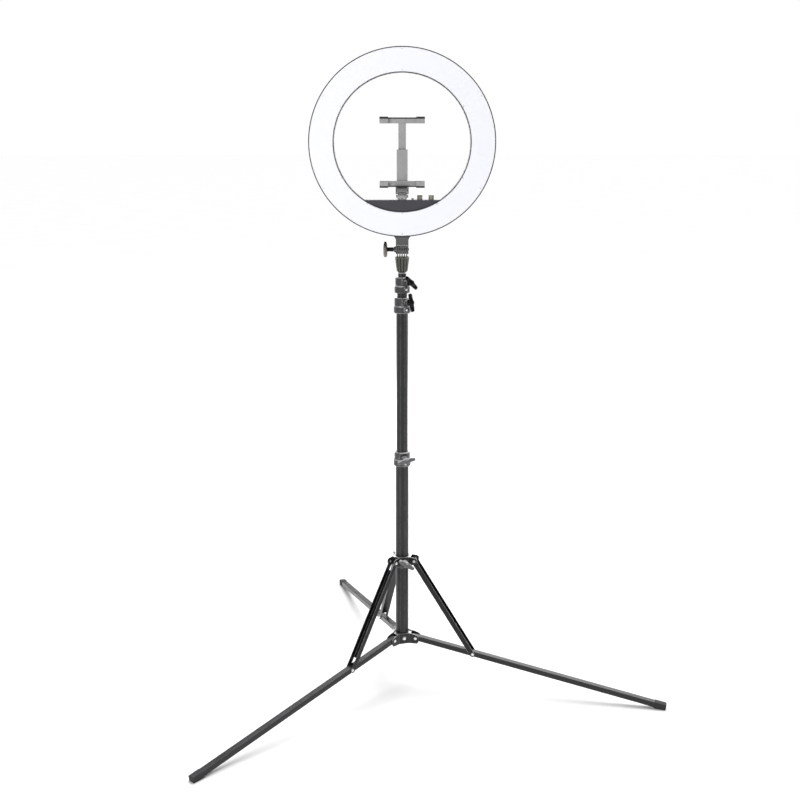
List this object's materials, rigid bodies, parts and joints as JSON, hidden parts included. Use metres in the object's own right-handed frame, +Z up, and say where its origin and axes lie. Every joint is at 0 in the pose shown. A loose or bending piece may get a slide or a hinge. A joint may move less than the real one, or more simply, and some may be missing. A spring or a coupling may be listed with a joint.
{
  "type": "ring light on a stand",
  "caption": "Round white ring lamp with control box and tablet holder in its opening, on a tilting joint and a telescopic tripod stand with low spread legs.",
  "frame": {"origin": "on the floor, under the axis of the column", "axes": "+Z up the column, the lit face of the ring looks along -Y, +X to the viewer's right"},
  "size_m": [1.2069, 1.222, 1.7176],
  "materials": {
    "black_tube": "satin",
    "black_plate": "satin",
    "cast_grey": "satin",
    "bright_steel": "satin",
    "grey_knob": "satin",
    "black_knob": "satin",
    "rubber": "matte",
    "bush_nylon": "satin",
    "bare_aluminium": "satin",
    "grip_plastic": "satin",
    "knuckle_grey": "satin",
    "chrome": "polished",
    "housing_black": "satin",
    "opal": "satin",
    "board": "satin",
    "box_charcoal": "satin",
    "driver_green": "satin",
    "dial_metal": "satin",
    "switch_grey": "satin",
    "shoe_metal": "satin",
    "holder_grey": "satin"
  },
  "bodies": {
    "base": {"base_tube": "black_tube", "hub_core": "cast_grey", "hub_plates": "black_plate", "hub_rivets": "bright_steel", "mid_clamp_body": "cast_grey", "mid_clamp_screw": "bright_steel"},
    "collar": {"collar_core": "cast_grey", "collar_plates": "black_plate", "collar_rivets": "bright_steel"},
    "collar_knob": {"collar_knob": "grey_knob"},
    "mid_clamp_knob": {"mid_clamp_knob": "grey_knob"},
    "section_2": {"section_2_tube": "black_tube", "section_2_bush": "bush_nylon", "clamp_2_body": "cast_grey", "clamp_2_screw": "bright_steel"},
    "clamp_2_knob": {"clamp_2_knob": "black_knob"},
    "section_3": {"section_3_tube": "black_tube", "section_3_bush": "bush_nylon", "clamp_3_body": "cast_grey", "clamp_3_screw": "bright_steel"},
    "clamp_3_knob": {"clamp_3_knob": "black_knob"},
    "section_4": {"section_4_tube": "black_tube", "section_4_bush": "bush_nylon", "spigot": "bare_aluminium"},
    "grip": {"grip_cone": "grip_plastic"},
    "head_base": {"tilt_base": "knuckle_grey"},
    "head": {"tilt_bracket": "knuckle_grey", "ring_housing": "housing_black", "diffuser": "opal", "led_board": "board", "housing_screws": "bright_steel", "control_box": "box_charcoal", "control_box_cover": "box_charcoal", "driver_board": "driver_green", "dc_inlet": "housing_black", "cold_shoe": "shoe_metal", "holder_foot": "shoe_metal"},
    "tilt_knob": {"tilt_knob": "chrome"},
    "dimmer": {"dimmer_knob": "dial_metal"},
    "colour_dial": {"colour_knob": "dial_metal"},
    "power_slider": {"power_switch": "switch_grey"},
    "shoe_nut": {"holder_nut": "holder_grey"},
    "holder_turret": {"holder_block": "holder_grey"},
    "holder": {"holder_frame": "holder_grey", "jaw_pads_lower": "rubber"},
    "upper_jaws": {"holder_slider": "holder_grey", "jaw_pads_upper": "rubber"},
    "jaw_lock": {"holder_lock_knob": "black_knob"},
    "leg_front_left": {"leg_tube_front_left": "black_tube", "leg_foot_front_left": "rubber"},
    "brace_front_left": {"brace_front_left": "black_plate", "brace_rivets_front_left": "bright_steel"},
    "leg_right": {"leg_tube_right": "black_tube", "leg_foot_right": "rubber"},
    "brace_right": {"brace_right": "black_plate", "brace_rivets_right": "bright_steel"},
    "leg_rear": {"leg_tube_rear": "black_tube", "leg_foot_rear": "rubber"},
    "brace_rear": {"brace_rear": "black_plate", "brace_rivets_rear": "bright_steel"}
  },
  "joints": [
    {"name": "collar_slide", "type": "slide", "parent": "base", "child": "collar", "axis": [0, 0, 1], "range_m": [0, 0.2408]},
    {"name": "leg_fold_front_left", "type": "hinge", "parent": "base", "child": "leg_front_left", "pos_m": [-0.02762, -0.02894, 0.129], "axis": [-0.7234, 0.6904, 0], "range_deg": [0, 100.35]},
    {"name": "brace_fold_front_left", "type": "hinge", "parent": "collar", "child": "brace_front_left", "pos_m": [-0.02485, -0.02604, 0.353], "axis": [0.7234, -0.6904, 0], "range_deg": [0, 32.29]},
    {"name": "leg_fold_right", "type": "hinge", "parent": "base", "child": "leg_right", "pos_m": [0.03887, -0.00945, 0.129], "axis": [-0.2362, -0.9717, 0], "range_deg": [0, 100.35]},
    {"name": "brace_fold_right", "type": "hinge", "parent": "collar", "child": "brace_right", "pos_m": [0.03498, -0.0085, 0.353], "axis": [0.2362, 0.9717, 0], "range_deg": [0, 32.29]},
    {"name": "leg_fold_rear", "type": "hinge", "parent": "base", "child": "leg_rear", "pos_m": [-0.01125, 0.03838, 0.129], "axis": [0.9596, 0.2813, 0], "range_deg": [0, 100.35]},
    {"name": "brace_fold_rear", "type": "hinge", "parent": "collar", "child": "brace_rear", "pos_m": [-0.01013, 0.03455, 0.353], "axis": [-0.9596, -0.2813, 0], "range_deg": [0, 32.29]},
    {"name": "collar_knob_turn", "type": "hinge", "parent": "collar", "child": "collar_knob", "pos_m": [0, 0, 0.351], "axis": [0.2813, -0.9596, 0], "range_deg": [-60, 120]},
    {"name": "mid_clamp_knob_turn", "type": "hinge", "parent": "base", "child": "mid_clamp_knob", "pos_m": [0, 0, 0.642], "axis": [0.2813, -0.9596, 0], "range_deg": [-100, 80]},
    {"name": "section_2_slide", "type": "slide", "parent": "base", "child": "section_2", "axis": [0, 0, 1], "range_m": [-0.215, 0.06]},
    {"name": "clamp_2_knob_turn", "type": "hinge", "parent": "section_2", "child": "clamp_2_knob", "pos_m": [0, 0, 1.066], "axis": [0.6691, -0.7431, 0], "range_deg": [-100, 80]},
    {"name": "section_3_slide", "type": "slide", "parent": "section_2", "child": "section_3", "axis": [0, 0, 1], "range_m": [-0.011, 0.38]},
    {"name": "clamp_3_knob_turn", "type": "hinge", "parent": "section_3", "child": "clamp_3_knob", "pos_m": [0, 0, 1.118], "axis": [0.6691, -0.7431, 0], "range_deg": [-100, 80]},
    {"name": "section_4_slide", "type": "slide", "parent": "section_3", "child": "section_4", "axis": [0, 0, 1], "range_m": [-0.009, 0.39]},
    {"name": "grip_turn", "type": "hinge", "parent": "section_4", "child": "grip", "pos_m": [0, 0, 1.16], "axis": [0, 0, 1], "continuous": true},
    {"name": "head_swivel", "type": "hinge", "parent": "section_4", "child": "head_base", "pos_m": [0, 0, 1.17], "axis": [0, 0, 1], "continuous": true},
    {"name": "head_tilt", "type": "hinge", "parent": "head_base", "child": "head", "pos_m": [0, 0, 1.203], "axis": [1, 0, 0], "range_deg": [-90, 90]},
    {"name": "tilt_knob_turn", "type": "hinge", "parent": "head", "child": "tilt_knob", "pos_m": [-0.03, 0, 1.203], "axis": [1, 0, 0], "range_deg": [-180, 180]},
    {"name": "dimmer_turn", "type": "hinge", "parent": "head", "child": "dimmer", "pos_m": [0.0455, 0, 1.338], "axis": [0, 0, 1], "range_deg": [-150, 150]},
    {"name": "colour_turn", "type": "hinge", "parent": "head", "child": "colour_dial", "pos_m": [0.0749, 0, 1.338], "axis": [0, 0, 1], "range_deg": [-150, 150]},
    {"name": "power_slide", "type": "slide", "parent": "head", "child": "power_slider", "axis": [1, 0, 0], "range_m": [0, 0.004]},
    {"name": "shoe_nut_turn", "type": "hinge", "parent": "head", "child": "shoe_nut", "pos_m": [0, 0, 1.34], "axis": [0, 0, 1], "range_deg": [-180, 180]},
    {"name": "holder_swivel", "type": "hinge", "parent": "head", "child": "holder_turret", "pos_m": [0, 0, 1.347], "axis": [0, 0, 1], "range_deg": [-90, 90]},
    {"name": "holder_tilt", "type": "hinge", "parent": "holder_turret", "child": "holder", "pos_m": [0, 0, 1.355], "axis": [1, 0, 0], "range_deg": [-45, 45]},
    {"name": "jaw_slide", "type": "slide", "parent": "holder", "child": "upper_jaws", "axis": [0, 0, 1], "range_m": [-0.05, 0.025]},
    {"name": "jaw_lock_turn", "type": "hinge", "parent": "holder", "child": "jaw_lock", "pos_m": [0, 0.018, 1.445], "axis": [0, 1, 0], "range_deg": [-180, 180]}
  ],
  "couplings": [
    {"joint": "leg_fold_front_left", "follows": "collar_slide", "rad_per_m": 7.2697},
    {"joint": "brace_fold_front_left", "follows": "collar_slide", "rad_per_m": 2.3365},
    {"joint": "leg_fold_right", "follows": "collar_slide", "rad_per_m": 7.2697},
    {"joint": "brace_fold_right", "follows": "collar_slide", "rad_per_m": 2.3365},
    {"joint": "leg_fold_rear", "follows": "collar_slide", "rad_per_m": 7.2697},
    {"joint": "brace_fold_rear", "follows": "collar_slide", "rad_per_m": 2.3365}
  ]
}
